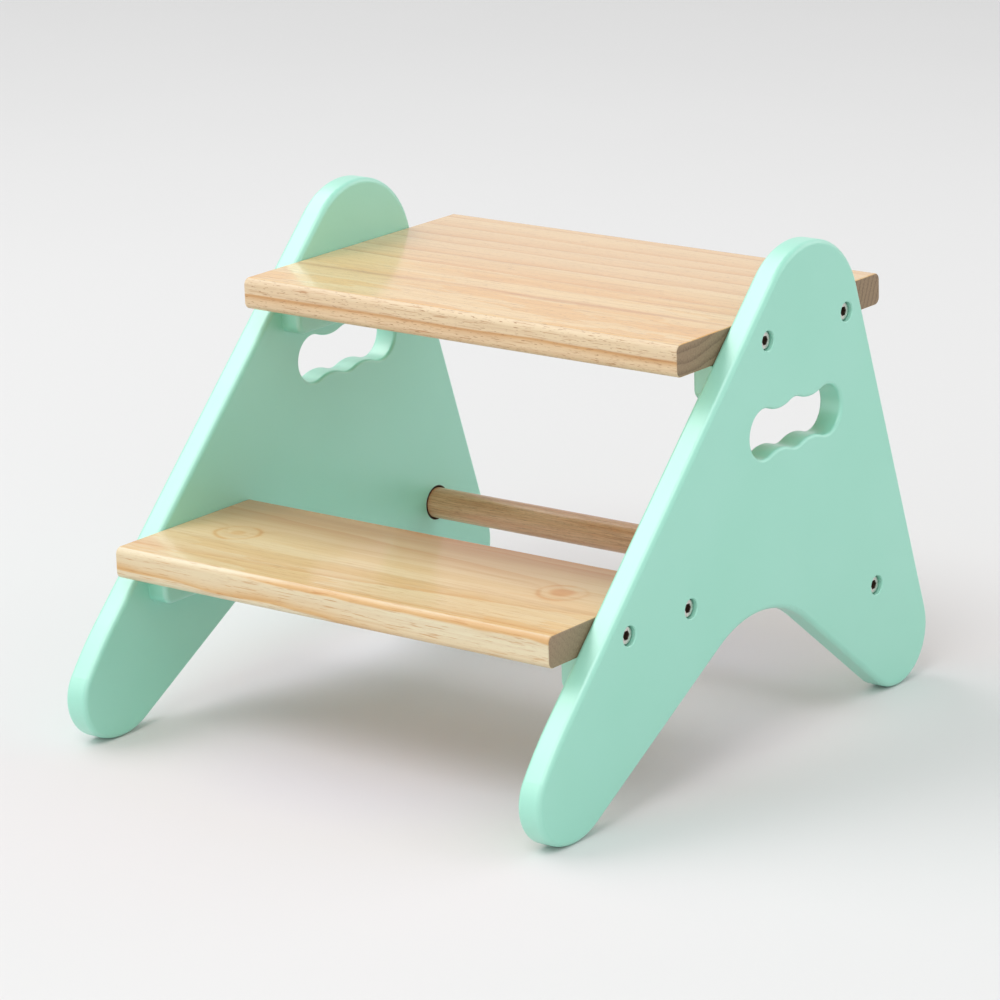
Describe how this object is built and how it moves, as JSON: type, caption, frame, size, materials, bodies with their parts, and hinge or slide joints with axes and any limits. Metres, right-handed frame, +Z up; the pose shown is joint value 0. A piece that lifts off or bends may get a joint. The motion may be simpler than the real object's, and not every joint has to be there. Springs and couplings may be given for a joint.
{
  "type": "step stool",
  "caption": "Rigid child's step stool: arched mint side panels with scalloped hand holes carry a lower and an upper pine tread, tied by a round rear crossbar.",
  "frame": {"origin": "on the floor, in the middle of the footprint", "axes": "+X to the right of someone who faces the rear from the front step, +Y from the front to the rear, +Z up"},
  "size_m": [0.33, 0.368, 0.276],
  "materials": {
    "mint_paint": "satin paint over smooth board",
    "pine": "clear semi-gloss lacquer",
    "brown_wood": "thin clear lacquer",
    "plain_wood": "bare",
    "bolt_steel": "nickel plated",
    "nut_steel": "zinc plated"
  },
  "bodies": {
    "root": {"left_side_panel": "mint_paint", "right_side_panel": "mint_paint", "top_step_board": "pine", "lower_step_board": "pine", "crossbar": "brown_wood", "top_left_cleat": "mint_paint", "top_left_cleat_pins": "plain_wood", "top_left_bolts": "bolt_steel", "top_left_barrel_nuts": "nut_steel", "top_right_cleat": "mint_paint", "top_right_cleat_pins": "plain_wood", "top_right_bolts": "bolt_steel", "top_right_barrel_nuts": "nut_steel", "lower_left_cleat": "mint_paint", "lower_left_cleat_pins": "plain_wood", "lower_left_bolts": "bolt_steel", "lower_left_barrel_nuts": "nut_steel", "lower_right_cleat": "mint_paint", "lower_right_cleat_pins": "plain_wood", "lower_right_bolts": "bolt_steel", "lower_right_barrel_nuts": "nut_steel", "crossbar_left_bolt": "bolt_steel", "crossbar_left_insert": "nut_steel", "crossbar_right_bolt": "bolt_steel", "crossbar_right_insert": "nut_steel"}
  },
  "joints": []
}
